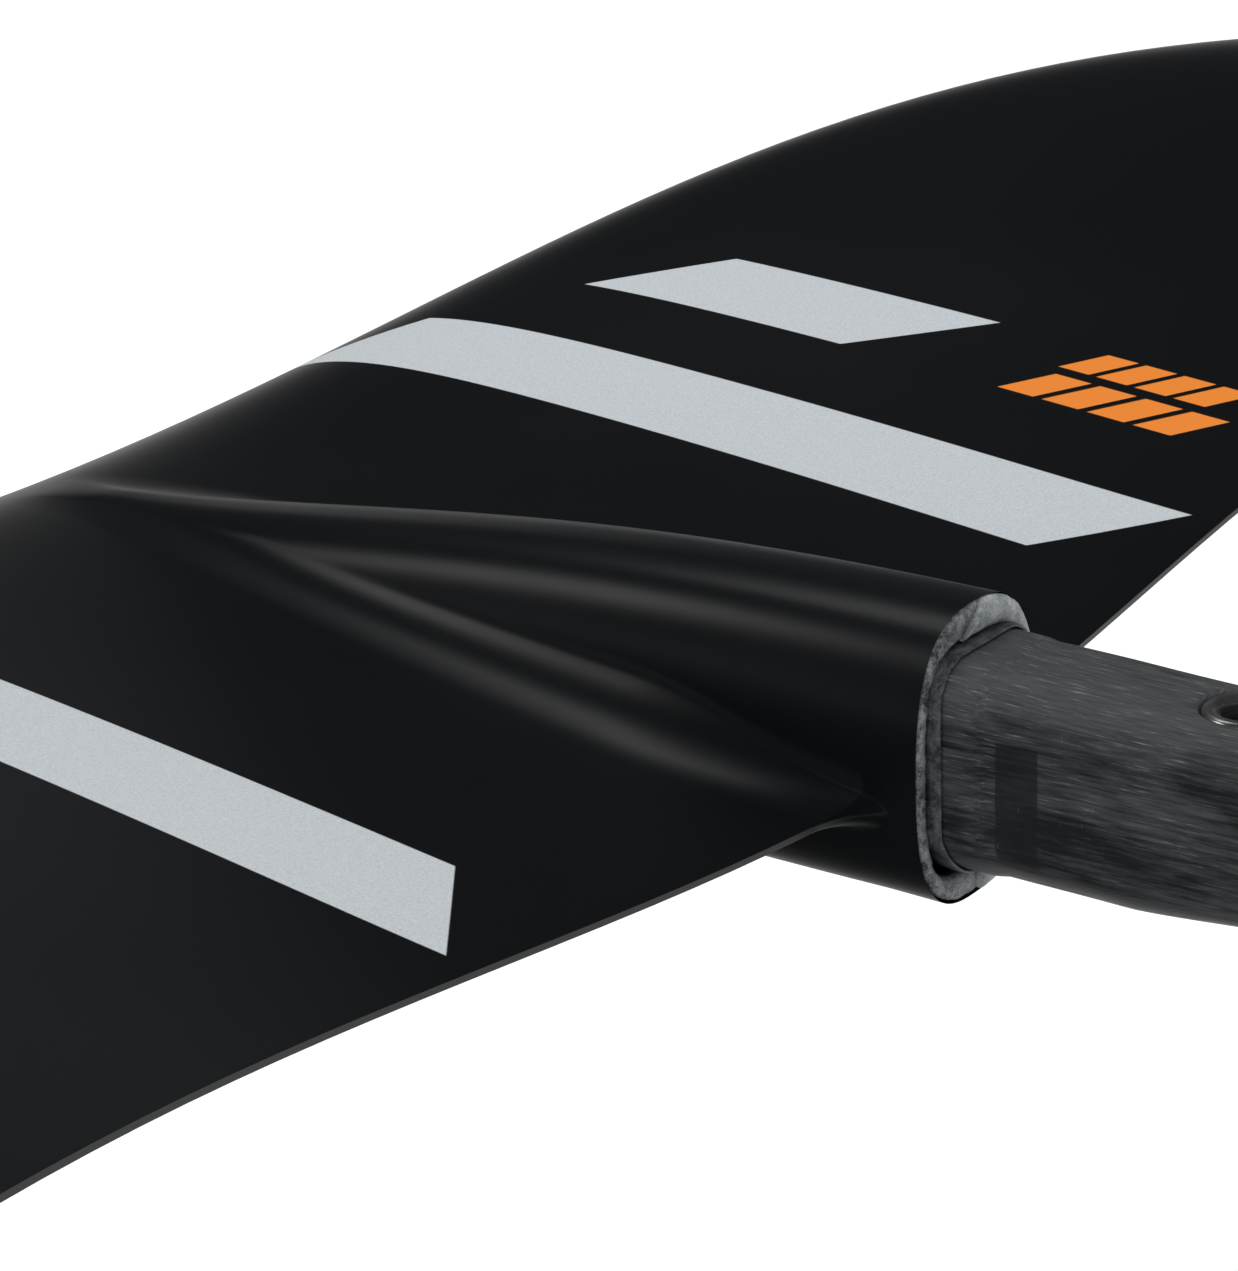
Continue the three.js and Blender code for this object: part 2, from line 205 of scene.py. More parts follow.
# Shares of the chord where the ridge starts to leave the wing, and where it has left it.
RIDGE_START = 0.06
RIDGE_FULL = 0.175
TAIL_FLARE = 1 * MM
TAIL_FLARE_POWER = 5
LEAST_HALF_WIDTH = 1 * MM
LEAST_HEIGHT = 0.1 * MM


def nacelle_share(y):
    """Zero at the shoulder and one at the nose."""
    return min(max((y - SHOULDER_Y) / (NOSE_Y - SHOULDER_Y), 0), 1)


def row_y(share):
    flare = TAIL_FLARE * share**TAIL_FLARE_POWER
    return leading_edge(0) - ROOT_CHORD * share - flare


def slimming(forward, powers):
    late, blunt = powers
    return (1 - forward**late) ** blunt


def nacelle_section(share, side):
    """Half width, middle and half height of the nacelle on one row, and its excess over the wing."""
    forward = nacelle_share(row_y(share))
    half_width = max(NACELLE_HALF_WIDTH * slimming(forward, WIDTH_SLIMMING), LEAST_HALF_WIDTH)
    middle = -CHORD_DROP * forward
    skin = wing_z(0, share, side)
    if side > 0:
        wave = (1 - math.cos(math.pi * forward**RIDGE_CURVE)) / 2
        crest = RIDGE_Z - RIDGE_FALL * wave
    else:
        crest = middle - KEEL_Z * slimming(forward, KEEL_SLIMMING)
    fade = smooth_step(RIDGE_START, RIDGE_FULL, share)
    excess = max(side * (crest - skin), 0) * fade
    half_height = skin + side * excess - middle
    if abs(half_height) < LEAST_HEIGHT:
        half_height = side * LEAST_HEIGHT
    return half_width, middle, half_height, excess


def superellipse_x(z_share, half_width, roundness):
    inside = max(1 - min(abs(z_share), 1) ** roundness, 0)
    return half_width * inside ** (1 / roundness)


for share in (0.1, 0.2, 0.4, 0.6, 0.8, 1.0):
    half_width, middle, half_height, excess = nacelle_section(share, 1)
    ridge = round((middle + half_height) / MM, 1)
    print("row", share, "has its ridge at", ridge, "mm, half width", round(half_width / MM, 1), "mm")

# %% [markdown]
# ## One row of the surface
#
# Each row has the same number of points, so that the rows can be the lines of a grid: some round the
# nacelle, some through the fillet as a cubic curve that starts along the flank and ends along the
# wing, and the rest out to the tip, closer together where the planform curls in.

# %% Row of points
NACELLE_STEPS = 22
FILLET_STEPS = 14
WING_STEPS = 60
ROW_STEPS = NACELLE_STEPS + FILLET_STEPS + WING_STEPS
# How far the fillet reaches out over the wing, and how far it rises up the flank: over the fore
# part, where it is full aft, and at its end on the trailing edge.
FILLET_REACH_FORE = 7 * MM
FILLET_REACH_AFT = 17 * MM
FILLET_REACH_END = 10.5 * MM
FILLET_RISE_FORE = 5 * MM
FILLET_RISE_AFT = 10 * MM
FILLET_RISE_END = 2.5 * MM
FILLET_GROWS_FROM = 0.4
FILLET_ENDS_FROM = 0.8
FILLET_RISE_LIMIT = 0.68
# The corner that the curve is drawn towards: its shares of the way across, along and up.
CORNER_ACROSS = 0.3
CORNER_ALONG = 0.1
CORNER_UP = 0.05
FLANK_HANDLE = 0.62
WING_HANDLE = 0.42
PROBE = 1 * MM
# The nacelle blends in over this much rise above the wing.
MERGE_RISE = 1.2 * MM


def bezier(points, amount):
    rest = 1 - amount
    weights = (rest**3, 3 * amount * rest**2, 3 * amount**2 * rest, amount**3)
    return sum((point * weight for point, weight in zip(points, weights)), Vector())


def surface_row(share, side):
    half_width, middle, half_height, excess = nacelle_section(share, side)
    y_row = row_y(share)
    skin = wing_z(0, share, side)
    growth = min(max((share - FILLET_GROWS_FROM) / (1 - FILLET_GROWS_FROM), 0), 1)
    ending = smooth_step(FILLET_ENDS_FROM, 1, share)
    rise = lerp(lerp(FILLET_RISE_FORE, FILLET_RISE_AFT, growth), FILLET_RISE_END, ending)
    reach = lerp(lerp(FILLET_REACH_FORE, FILLET_REACH_AFT, growth), FILLET_REACH_END, ending)
    climb = min(rise, FILLET_RISE_LIMIT * excess)
    start_share = (skin + side * climb - middle) / half_height
    end_x = superellipse_x((skin - middle) / half_height, half_width, NACELLE_ROUNDNESS) + reach

    def on_wing(x):
        y = leading_edge(x) - (leading_edge(x) - trailing_edge(x)) * share
        return Vector((x, y, wing_z(x, share, side)))

    # From the ridge down the flank, by the angle of the superellipse.
    start_angle = math.asin(max(min(abs(start_share) ** (NACELLE_ROUNDNESS / 2), 1), 0))
    start_angle = math.copysign(start_angle, start_share)
    points = []
    for k in range(NACELLE_STEPS + 1):
        angle = lerp(math.pi / 2, start_angle, k / NACELLE_STEPS)
        height = math.copysign(abs(math.sin(angle)) ** (2 / NACELLE_ROUNDNESS), angle)
        across = half_width * max(math.cos(angle), 0) ** (2 / NACELLE_ROUNDNESS)
        points.append(Vector((across, y_row, middle + height * half_height)))

    # Through the fillet, along the flank at first and along the wing at its end.
    start = points[-1]
    end = on_wing(end_x)
    corner = Vector(
        (
            lerp(start.x, end.x, CORNER_ACROSS),
            lerp(start.y, end.y, CORNER_ALONG),
            skin + side * CORNER_UP * climb,
        )
    )
    outward = (on_wing(end_x + PROBE) - end).normalized()
    handles = (
        start,
        lerp(start, corner, FLANK_HANDLE),
        end - outward * (WING_HANDLE * reach),
        end,
    )
    points += [bezier(handles, k / FILLET_STEPS) for k in range(1, FILLET_STEPS + 1)]

    # Where the nacelle has not yet risen out of the wing, the row just follows the wing.
    merge = smooth_step(0, MERGE_RISE, excess)
    inner_steps = NACELLE_STEPS + FILLET_STEPS
    for k in range(inner_steps + 1):
        flat = on_wing(end_x * k / inner_steps)
        points[k] = flat.lerp(points[k], merge)

    # Out to the tip, with the points closer together as they near it.
    for k in range(1, WING_STEPS + 1):
        amount = math.sin(math.pi / 2 * k / WING_STEPS)
        points.append(on_wing(lerp(end_x, HALF_SPAN, amount)))
    return points


print("one row has", len(surface_row(0.5, 1)), "points")

# %% [markdown]
# ## The painted shell
#
# The sheet starts as a flat grid. Each vertex reads its own place in the grid as a column and a row,
# and moves to that point of the surface. The lower sheet is made in the same way, a mirror adds the
# port half, and merging the doubles closes the nose, the centre line and the tips.

# %% Helpers for pieces
def new_object(name, builder):
    mesh = bpy.data.meshes.new(name)
    builder.to_mesh(mesh)
    builder.free()
    piece = bpy.data.objects.new(name, mesh)
    bpy.context.scene.collection.objects.link(piece)
    for face in mesh.polygons:
        face.use_smooth = True
    return piece


def grid_sheet(target, columns, rows, place):
    """A grid whose vertex at (column, row) moves to place(column, row)."""
    made = bmesh.ops.create_grid(target, x_segments=columns, y_segments=rows, size=0.5)
    for vertex in made["verts"]:
        column = round((vertex.co.x + 0.5) * columns)
        row = round((vertex.co.y + 0.5) * rows)
        vertex.co = place(column, row)
    return made["verts"]


def faces_of(vertices):
    return {face for vertex in vertices for face in vertex.link_faces}


def everything(builder):
    return builder.verts[:] + builder.edges[:] + builder.faces[:]


print("helpers for pieces ready")

# %% Upper and lower sheets
CHORD_ROWS = 96
UPPER_PAINT = 0
LOWER_PAINT = 1


def row_share(row):
    """Rows lie closer together near the leading and trailing edges."""
    return (1 - math.cos(math.pi * row / CHORD_ROWS)) / 2


shell = bmesh.new()
for side in (1, -1):
    rows = [surface_row(row_share(row), side) for row in range(CHORD_ROWS + 1)]
    sheet = grid_sheet(shell, ROW_STEPS, CHORD_ROWS, lambda column, row: rows[row][column])
    for face in faces_of(sheet):
        face.material_index = UPPER_PAINT if side > 0 else LOWER_PAINT
print("sheets:", len(shell.faces), "faces")

# %% [markdown]
# ## The trailing edge, and how it fades into the nacelle
#
# The edge itself is a strip about a millimetre high. Where the fillet climbs the flank that strip
# grows taller, and its middle is drawn aft and inwards, so that it flows onto the flank instead of
# ending in a step. Behind it comes the last stretch of the nacelle, out to the shoulder.

# %% Trailing edge and tail
EDGE_ROWS = 12
TAIL_ROWS = 8
TAIL_LIP = 0.4 * MM
WEB_REACH = 5 * MM
WEB_HOLLOW = 0.55
WEB_FULLNESS = 0.8
WEB_FADE = 1.6
upper_row = surface_row(1, 1)
lower_row = surface_row(1, -1)


def edge_place(column, row):
    """A point of the trailing edge: column 0 is on the flank, and row 0 is its upper line."""
    down = row / EDGE_ROWS
    point = upper_row[NACELLE_STEPS + column].lerp(lower_row[NACELLE_STEPS + column], down)
    flank = upper_row[NACELLE_STEPS].lerp(lower_row[NACELLE_STEPS], down)
    inward = max(1 - column / FILLET_STEPS, 0)
    belly = math.sin(math.pi * down) ** WEB_FULLNESS
    side_height = RIDGE_Z if flank.z > 0 else KEEL_Z
    flank_x = superellipse_x(flank.z / side_height, NACELLE_HALF_WIDTH, NACELLE_ROUNDNESS)
    point.x += (flank_x - flank.x) * inward**2
    point.x = lerp(point.x, flank_x, WEB_HOLLOW * belly * inward)
    point.y -= WEB_REACH * belly * inward**WEB_FADE
    return point


strip = grid_sheet(shell, FILLET_STEPS + WING_STEPS, EDGE_ROWS, edge_place)
web_line = [edge_place(0, row) for row in range(EDGE_ROWS + 1)]
tail_outline = upper_row[:NACELLE_STEPS] + web_line + lower_row[:NACELLE_STEPS][::-1]


def tail_place(column, row):
    point = tail_outline[column].copy()
    point.y = lerp(point.y, SHOULDER_Y + TAIL_LIP, row / TAIL_ROWS)
    return point


tail = grid_sheet(shell, len(tail_outline) - 1, TAIL_ROWS, tail_place)
for face in faces_of(strip) | faces_of(tail):
    face.material_index = LOWER_PAINT
print("with the edge and tail:", len(shell.faces), "faces")

# %% Mirror and close the shell
MIRROR_MERGE = 1e-6
MERGE_DISTANCE = 2e-6
LEAST_EDGE = 1e-7
bmesh.ops.mirror(shell, geom=everything(shell), axis="X", merge_dist=MIRROR_MERGE)
bmesh.ops.remove_doubles(shell, verts=shell.verts, dist=MERGE_DISTANCE)
bmesh.ops.dissolve_degenerate(shell, dist=LEAST_EDGE, edges=shell.edges)
bmesh.ops.recalc_face_normals(shell, faces=shell.faces)
open_edges = [edge for edge in shell.edges if len(edge.link_faces) != 2]
print("open edges, all at the shoulder:", len(open_edges))
wing_shell = new_object("wing_shell", shell)
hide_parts("upper_skin", "lower_skin")
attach(wing_shell, "root")

# %% [markdown]
# ## The shoulder
#
# Where the paint stops, the cut edge of the laminate shows as a pale, sanded ring. It is made in two
# halves, as the two halves of the mould left it, and the starboard half stands a little proud of the
# other. Each half is a grid bent round the nacelle: its columns run round from the top to the bottom,
# and its rows follow the edge's small profile. Seeded noise chips the edge by a tenth of a
# millimetre or so, and the seed makes the chips the same on each run.

# %% Shoulder edge
BAND_COLUMNS = 96
BAND_DEPTH = 3 * MM
BAND_INSET = 0.3 * MM
BAND_STEP = 0.7 * MM
BORE_HALF_WIDTH = 13.1 * MM
BORE_HALF_HEIGHT = 18 * MM
BORE_ROUNDNESS = 3.4
# Each stop of the profile: how far from the outside to the bore, and how far ahead of the shoulder.
BAND_PROFILE = (
    (0, BAND_DEPTH),
    (0, 0.5 * MM),
    (0.14, 0.08 * MM),
    (0.4, -0.05 * MM),
    (0.8, 0.1 * MM),
    (1, 0.7 * MM),
    (1, BAND_DEPTH),
    (0, BAND_DEPTH),
)
# The halves meet in a seam, at an angle from the top and the bottom, that leans over at the top.
SEAM_ANGLE = 0.012
SEAM_LEAN = 0.16
SEAM_PIVOT = 0.25
SEAM_LEAN_FADE = 8
CHIP = 0.16 * MM
CHIP_SCALE = 900
CHIP_SEED = 7
noise.seed_set(CHIP_SEED)


def oval_point(angle, half_width, top, bottom, roundness):
    """Point of a superellipse, with the angle measured from its top towards port."""
    power = 2 / roundness
    across = -half_width * math.copysign(abs(math.sin(angle)) ** power, math.sin(angle))
    height = math.cos(angle)
    rise = (top if height > 0 else bottom) * math.copysign(abs(height) ** power, height)
    return Vector((across, 0, rise))


def chipped(point, amount):
    return point + noise.noise_vector(point * CHIP_SCALE) * amount


def shoulder_edge(name, side, node):
    builder = bmesh.new()

    def place(column, row):
        inward, ahead = BAND_PROFILE[row]
        turn = column / BAND_COLUMNS
        lean = -side * SEAM_LEAN * (inward - SEAM_PIVOT) * (1 - turn) ** SEAM_LEAN_FADE
        angle = -side * (SEAM_ANGLE + lean + (math.pi - 2 * SEAM_ANGLE - lean) * turn)
        outer = oval_point(
            angle,
            NACELLE_HALF_WIDTH - BAND_INSET,
            RIDGE_Z - BAND_INSET,
            KEEL_Z - BAND_INSET,
            NACELLE_ROUNDNESS,
        )
        bore = oval_point(
            angle, BORE_HALF_WIDTH, BORE_HALF_HEIGHT, BORE_HALF_HEIGHT, BORE_ROUNDNESS
        )
        point = outer.lerp(bore, inward)
        in_view = 0 < row < len(BAND_PROFILE) - 2
        point.y = SHOULDER_Y + ahead - (BAND_STEP if side > 0 and in_view else 0)
        return chipped(point, CHIP) if in_view else point

    grid_sheet(builder, BAND_COLUMNS, len(BAND_PROFILE) - 1, place)
    bmesh.ops.remove_doubles(builder, verts=builder.verts, dist=MERGE_DISTANCE)
    bmesh.ops.holes_fill(builder, edges=builder.edges, sides=0)
    bmesh.ops.recalc_face_normals(builder, faces=builder.faces)
    piece = new_object(name, builder)
    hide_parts(node)
    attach(piece, "root")
    return piece


edge_port = shoulder_edge("shoulder_edge_port", -1, "shoulder_band_port")
edge_starboard = shoulder_edge("shoulder_edge_starboard", 1, "shoulder_band_starboard")
for edge_half in (edge_port, edge_starboard):
    print(edge_half.name, "has", len(edge_half.data.polygons), "faces")

# %% [markdown]
# ## The tenon
#
# The tenon is a solid bar of carbon with a flat top, flat sides, rounded upper corners and large
# lower chamfers. It tapers aft, and its underside curls up to the end face. A loft is what it is, so
# it is made as one: a grid whose columns run round the section and whose rows run along the bar. Near
# the shoulder it swells into a slightly larger root.

# %% Section of the tenon
CORNER_STEPS = 8
FLAT_STEPS = 5
ROOT_HALF_WIDTH = 11.9 * MM
ROOT_TOP = 16.7 * MM
END_HALF_WIDTH = 8.5 * MM
END_TOP = 15 * MM
END_BOTTOM = 6 * MM
# The underside is straight for this far behind the shoulder, and then curls up to the end face.
STRAIGHT_RUN = 28 * MM
CURL_POWER = 1.2
INNER_HALF_WIDTH = 8.5 * MM
INNER_HALF_HEIGHT = 12.5 * MM
UPPER_RADIUS = 6 * MM
UPPER_ROUNDNESS = 2
LOWER_CHAMFER = 8.5 * MM
LOWER_ROUNDNESS = 1.45
CHAMFER_LIMIT = 0.3
# The root stands proud of the bar: where its step starts and ends, and how proud each side is.
ROOT_STEP = (SHOULDER_Y - 7.5 * MM, SHOULDER_Y - 5.8 * MM)
BAR_PROUD = -0.35 * MM
ROOT_PROUD = 0.1 * MM
TOP_PROUD_SHARE = 0.5
TENON_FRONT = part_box("tenon")[1].y


def bar_section(half_width, top, bottom, upper_radius, lower_radius):
    """Outline of the bar, anticlockwise from the starboard side's upper corner."""
    corners = (
        (1, 1, top, upper_radius, UPPER_ROUNDNESS),
        (-1, 1, top, upper_radius, UPPER_ROUNDNESS),
        (-1, -1, bottom, lower_radius, LOWER_ROUNDNESS),
        (1, -1, bottom, lower_radius, LOWER_ROUNDNESS),
    )
    outline = []
    for quarter, (across, upright, level, radius, roundness) in enumerate(corners):
        for k in range(CORNER_STEPS + 1):
            angle = math.pi / 2 * k / CORNER_STEPS
            first = math.cos(angle) ** (2 / roundness)
            second = max(math.sin(angle), 0) ** (2 / roundness)
            cosine, sine = (first, second) if quarter % 2 == 0 else (second, first)
            x = across * (half_width - radius + radius * cosine)
            z = level + upright * radius * (sine - 1)
            outline.append(Vector((x, 0, z)))
        following = outline[-1]
        if quarter == 3:
            goal = outline[0]
        else:
            ahead = corners[quarter + 1]
            goal_x = ahead[0] * (half_width - (ahead[3] if quarter % 2 == 0 else 0))
            goal_z = ahead[2] - ahead[1] * (0 if quarter % 2 == 0 else ahead[3])
            goal = Vector((goal_x, 0, goal_z))
        outline += [following.lerp(goal, k / FLAT_STEPS) for k in range(1, FLAT_STEPS)]
    return outline


def tenon_section(y):
    behind = max(SHOULDER_Y - y, 0)
    taper = behind / SHOULDER_Y
    curl = max(behind - STRAIGHT_RUN, 0) / (SHOULDER_Y - STRAIGHT_RUN)
    inside = max(y - SHOULDER_Y, 0)
    ahead = inside / (TENON_FRONT - SHOULDER_Y)
    drop = -CHORD_DROP * inside / (NOSE_Y - SHOULDER_Y)
    proud = lerp(BAR_PROUD, ROOT_PROUD, smooth_step(*ROOT_STEP, y))
    half_width = lerp(ROOT_HALF_WIDTH, END_HALF_WIDTH, taper) + proud
    half_width = lerp(half_width, INNER_HALF_WIDTH, ahead)
    top = lerp(ROOT_TOP, END_TOP, taper) + proud * TOP_PROUD_SHARE
    top = lerp(top, INNER_HALF_HEIGHT, ahead) + drop
    bottom = lerp(ROOT_TOP, END_BOTTOM, curl**CURL_POWER) + proud
    bottom = -lerp(bottom, INNER_HALF_HEIGHT, ahead) + drop
    rounding = min(half_width / ROOT_HALF_WIDTH, 1)
    chamfer = min(LOWER_CHAMFER * rounding, (top - bottom) * CHAMFER_LIMIT)
    return half_width, top, bottom, UPPER_RADIUS * rounding, chamfer


print("section at the end face:", [round(value / MM, 1) for value in tenon_section(0)])

# %% Tenon
END_ROUNDING = 0.8 * MM
TENON_ROWS = 110
# Rows lie a little closer together at the end face than at the front.
TENON_ROW_POWER = 1.1
# Hand sanding leaves the bar slightly wavy: how much, and how fast across it and along it.
WAVINESS = 0.12 * MM
WAVES_ACROSS = 260
WAVES_ALONG = 60


def tenon_place(column, row):
    y = TENON_FRONT * (row / TENON_ROWS) ** TENON_ROW_POWER
    half_width, top, bottom, upper_radius, lower_radius = tenon_section(y)
    if row == 0:
        half_width -= END_ROUNDING
        top -= END_ROUNDING
        bottom += END_ROUNDING
    elif row == 1:
        y = END_ROUNDING
    outline = bar_section(half_width, top, bottom, upper_radius, lower_radius)
    point = outline[column % len(outline)].copy()
    point.y = y
    if row == 0:
        return point
    wave = noise.noise(Vector((point.x * WAVES_ACROSS, y * WAVES_ALONG, point.z * WAVES_ACROSS)))
    middle = Vector((0, y, (top + bottom) / 2))
    return point + (point - middle).normalized() * wave * WAVINESS


outline_count = len(bar_section(*tenon_section(SHOULDER_Y)))
bar = bmesh.new()
grid_sheet(bar, outline_count, TENON_ROWS, tenon_place)
bmesh.ops.remove_doubles(bar, verts=bar.verts, dist=MERGE_DISTANCE)
bmesh.ops.holes_fill(bar, edges=bar.edges, sides=0)
bmesh.ops.recalc_face_normals(bar, faces=bar.faces)
tenon = new_object("tenon_carbon", bar)
print("tenon bar:", outline_count, "points round,", len(tenon.data.polygons), "faces")

# %% [markdown]
# ## Bolt holes and threaded inserts
#
# Two bolts come down into the tenon from the fuselage, into stainless inserts. A turned part is a
# profile spun round its axis. The pocket is cut with a boolean, whose result is kept as the mesh, and
# the same spin makes the insert, with the grooves of its thread inside.

# %% Turned parts
LATHE_STEPS = 64


def lathe(target, profile, y, closed):
    """Spins a profile of (radius, height) pairs round an upright axis on the centre line."""
    points = [target.verts.new((radius, y, height)) for radius, height in profile]
    pairs = list(zip(points, points[1:]))
    if closed:
        pairs.append((points[-1], points[0]))
    lines = [target.edges.new(pair) for pair in pairs]
    bmesh.ops.spin(
        target,
        geom=points + lines,
        cent=(0, y, 0),
        axis=(0, 0, 1),
        angle=2 * math.pi,
        steps=LATHE_STEPS,
        use_merge=True,
    )
    bmesh.ops.remove_doubles(target, verts=target.verts, dist=MERGE_DISTANCE)
    bmesh.ops.recalc_face_normals(target, faces=target.faces)


print("a full turn takes", LATHE_STEPS, "steps")

# %% Pockets and insert sleeves
def cut_with(piece, cutter):
    modifier = piece.modifiers.new("cut", "BOOLEAN")
    modifier.object = cutter
    modifier.solver = "EXACT"
    bpy.context.view_layer.update()
    cut = piece.evaluated_get(bpy.context.evaluated_depsgraph_get())
    mesh = bpy.data.meshes.new_from_object(cut)
    piece.modifiers.clear()
    piece.data = mesh
    bpy.data.objects.remove(cutter)


POCKET_GAP = 0.3 * MM
POCKET_CHAMFER = 0.5 * MM
CUTTER_ABOVE = 5 * MM
SLEEVE_CHAMFER = 0.4 * MM
SLEEVE_RIM = 0.5 * MM
BORE_RADIUS = 3.4 * MM
THREAD_PITCH = 1.25 * MM
THREAD_DEPTH = 0.6 * MM
THREAD_START = 0.9 * MM
THREAD_SPARE = 1 * MM


def pocket_profile(radius, floor_z, surface):
    """A hole down to floor_z, with a chamfer where it opens at the surface."""
    mouth = radius + 2 * POCKET_CHAMFER
    return (
        (0, floor_z),
        (radius, floor_z),
        (radius, surface - POCKET_CHAMFER),
        (mouth, surface + POCKET_CHAMFER),
        (mouth, surface + CUTTER_ABOVE),
        (0, surface + CUTTER_ABOVE),
    )


def sleeve_profile(radius, low_z, high_z):
    """A chamfered sleeve with a ring of thread for each turn inside its bore."""
    profile = [
        (radius - SLEEVE_CHAMFER, low_z),
        (radius, low_z + SLEEVE_CHAMFER),
        (radius, high_z - SLEEVE_CHAMFER),
        (radius - SLEEVE_CHAMFER, high_z),
        (BORE_RADIUS + THREAD_DEPTH + SLEEVE_RIM, high_z),
    ]
    for turn in range(int((high_z - low_z - THREAD_SPARE) / THREAD_PITCH)):
        crest = high_z - THREAD_START - turn * THREAD_PITCH
        profile.append((BORE_RADIUS, crest))
        profile.append((BORE_RADIUS + THREAD_DEPTH, crest - THREAD_PITCH / 2))
    profile.append((BORE_RADIUS, low_z))
    return profile


sleeves = []
for name in ("aft", "fore"):
    node = f"threaded_insert_{name}"
    low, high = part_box(node)
    centre_y = (low.y + high.y) / 2
    radius = (high.y - low.y) / 2
    surface = tenon_section(centre_y)[1]
    hole = bmesh.new()
    profile = pocket_profile(radius + POCKET_GAP, low.z - POCKET_GAP, surface)
    lathe(hole, profile, centre_y, closed=False)
    cut_with(tenon, new_object("cutter", hole))

    turned = bmesh.new()
    lathe(turned, sleeve_profile(radius, low.z, high.z), centre_y, closed=True)
    sleeve = new_object(f"insert_sleeve_{name}", turned)
    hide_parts(node)
    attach(sleeve, "root")
    sleeves.append(sleeve)
    print(sleeve.name, "has", len(sleeve.data.polygons), "faces")

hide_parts("tenon")
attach(tenon, "root")

# %% [markdown]
# ## The wrap round the tenon's root
#
# A thin collar of glass cloth lies round the root inside the shoulder, and only its aft edge shows, as
# a fine line with a dark groove outside it. It is a grid again, bent round the same section as the
# tenon, with its rows following the collar's wall.

# %% Root wrap
WRAP_AFT, WRAP_FRONT = (corner.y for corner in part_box("tenon_root_wrap"))
WRAP_CLEAR = 0.12 * MM
WRAP_WALL = 0.55 * MM
WRAP_FRAY = 0.05 * MM
# Each stop of the wall: how far outside the tenon, and how far along it.
WRAP_PROFILE = (
    (WRAP_CLEAR, WRAP_FRONT),
    (WRAP_CLEAR, WRAP_AFT + 1 * MM),
    (WRAP_CLEAR + 0.5 * WRAP_WALL, WRAP_AFT + 0.7 * MM),
    (WRAP_CLEAR + WRAP_WALL, WRAP_AFT + 1 * MM),
    (WRAP_CLEAR + WRAP_WALL, WRAP_FRONT),
    (WRAP_CLEAR, WRAP_FRONT),
)


def wrap_place(column, row):
    outward, y = WRAP_PROFILE[row]
    half_width, top, bottom, upper_radius, lower_radius = tenon_section(SHOULDER_Y)
    outline = bar_section(
        half_width + outward,
        top + outward,
        bottom - outward,
        upper_radius + outward,
        lower_radius + outward,
    )
    point = outline[column % len(outline)].copy()
    point.y = y
    aft_edge = 0 < row < len(WRAP_PROFILE) - 2
    return chipped(point, WRAP_FRAY) if aft_edge else point


wrap_mesh = bmesh.new()
grid_sheet(wrap_mesh, outline_count, len(WRAP_PROFILE) - 1, wrap_place)
bmesh.ops.remove_doubles(wrap_mesh, verts=wrap_mesh.verts, dist=MERGE_DISTANCE)
bmesh.ops.recalc_face_normals(wrap_mesh, faces=wrap_mesh.faces)
root_wrap = new_object("root_wrap", wrap_mesh)
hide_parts("tenon_root_wrap")
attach(root_wrap, "root")
print("root wrap:", len(root_wrap.data.polygons), "faces")

# %% [markdown]
# ## Helpers for the finishes
#
# Each finish is a small graph of nodes. These helpers keep the graphs readable: one makes a node and
# sets its values, one does a step of arithmetic, and one gives a noise texture that is stretched
# along an axis, which is how brushed and sanded surfaces are drawn. Noise keeps near the middle of
# its range, so a remap usually spreads it before it is used.

# %% Node helpers
def new_material(name, color, roughness):
    material = bpy.data.materials.new(name)
    material.use_nodes = True
    shader = material.node_tree.nodes["Principled BSDF"]
    shader.inputs["Base Color"].default_value = (*color, 1)
    shader.inputs["Roughness"].default_value = roughness
    return material, material.node_tree, shader


def math_node(tree, operation, first, second=None, clamp=False):
    node = tree.nodes.new("ShaderNodeMath")
    node.operation = operation
    node.use_clamp = clamp
    for socket, value in zip(node.inputs, (first, second)):
        if isinstance(value, (int, float)):
            socket.default_value = value
        elif value is not None:
            tree.links.new(value, socket)
    return node.outputs[0]


def layered_sum(tree, first, second, first_weight):
    """Two layers added, with weights that make one together."""
    first_part = math_node(tree, "MULTIPLY", first, first_weight)
    second_part = math_node(tree, "MULTIPLY", second, 1 - first_weight)
    return math_node(tree, "ADD", first_part, second_part)


def object_coordinates(tree):
    return tree.nodes.new("ShaderNodeTexCoord").outputs["Object"]


def object_axes(tree):
    node = tree.nodes.new("ShaderNodeSeparateXYZ")
    tree.links.new(object_coordinates(tree), node.inputs[0])
    return node.outputs


def stretched_noise(tree, scales, detail=4, roughness=0.55, turn=(0, 0, 0)):
    """Noise whose features get finer along each axis as its scale, in cycles a metre, goes up."""
    mapping = tree.nodes.new("ShaderNodeMapping")
    mapping.inputs["Scale"].default_value = scales
    mapping.inputs["Rotation"].default_value = turn
    tree.links.new(object_coordinates(tree), mapping.inputs["Vector"])
    texture = tree.nodes.new("ShaderNodeTexNoise")
    texture.inputs["Scale"].default_value = 1
    texture.inputs["Detail"].default_value = detail
    texture.inputs["Roughness"].default_value = roughness
    tree.links.new(mapping.outputs[0], texture.inputs["Vector"])
    return texture.outputs["Fac"]


def even_noise(tree, scale, detail=4, roughness=0.55):
    return stretched_noise(tree, (scale, scale, scale), detail, roughness)


def remap(tree, value, from_low, from_high, to_low=0.0, to_high=1.0, smooth=False):
    node = tree.nodes.new("ShaderNodeMapRange")
    node.interpolation_type = "SMOOTHSTEP" if smooth else "LINEAR"
    node.inputs["From Min"].default_value = from_low
    node.inputs["From Max"].default_value = from_high
    node.inputs["To Min"].default_value = to_low
    node.inputs["To Max"].default_value = to_high
    tree.links.new(value, node.inputs["Value"])
    return node.outputs["Result"]


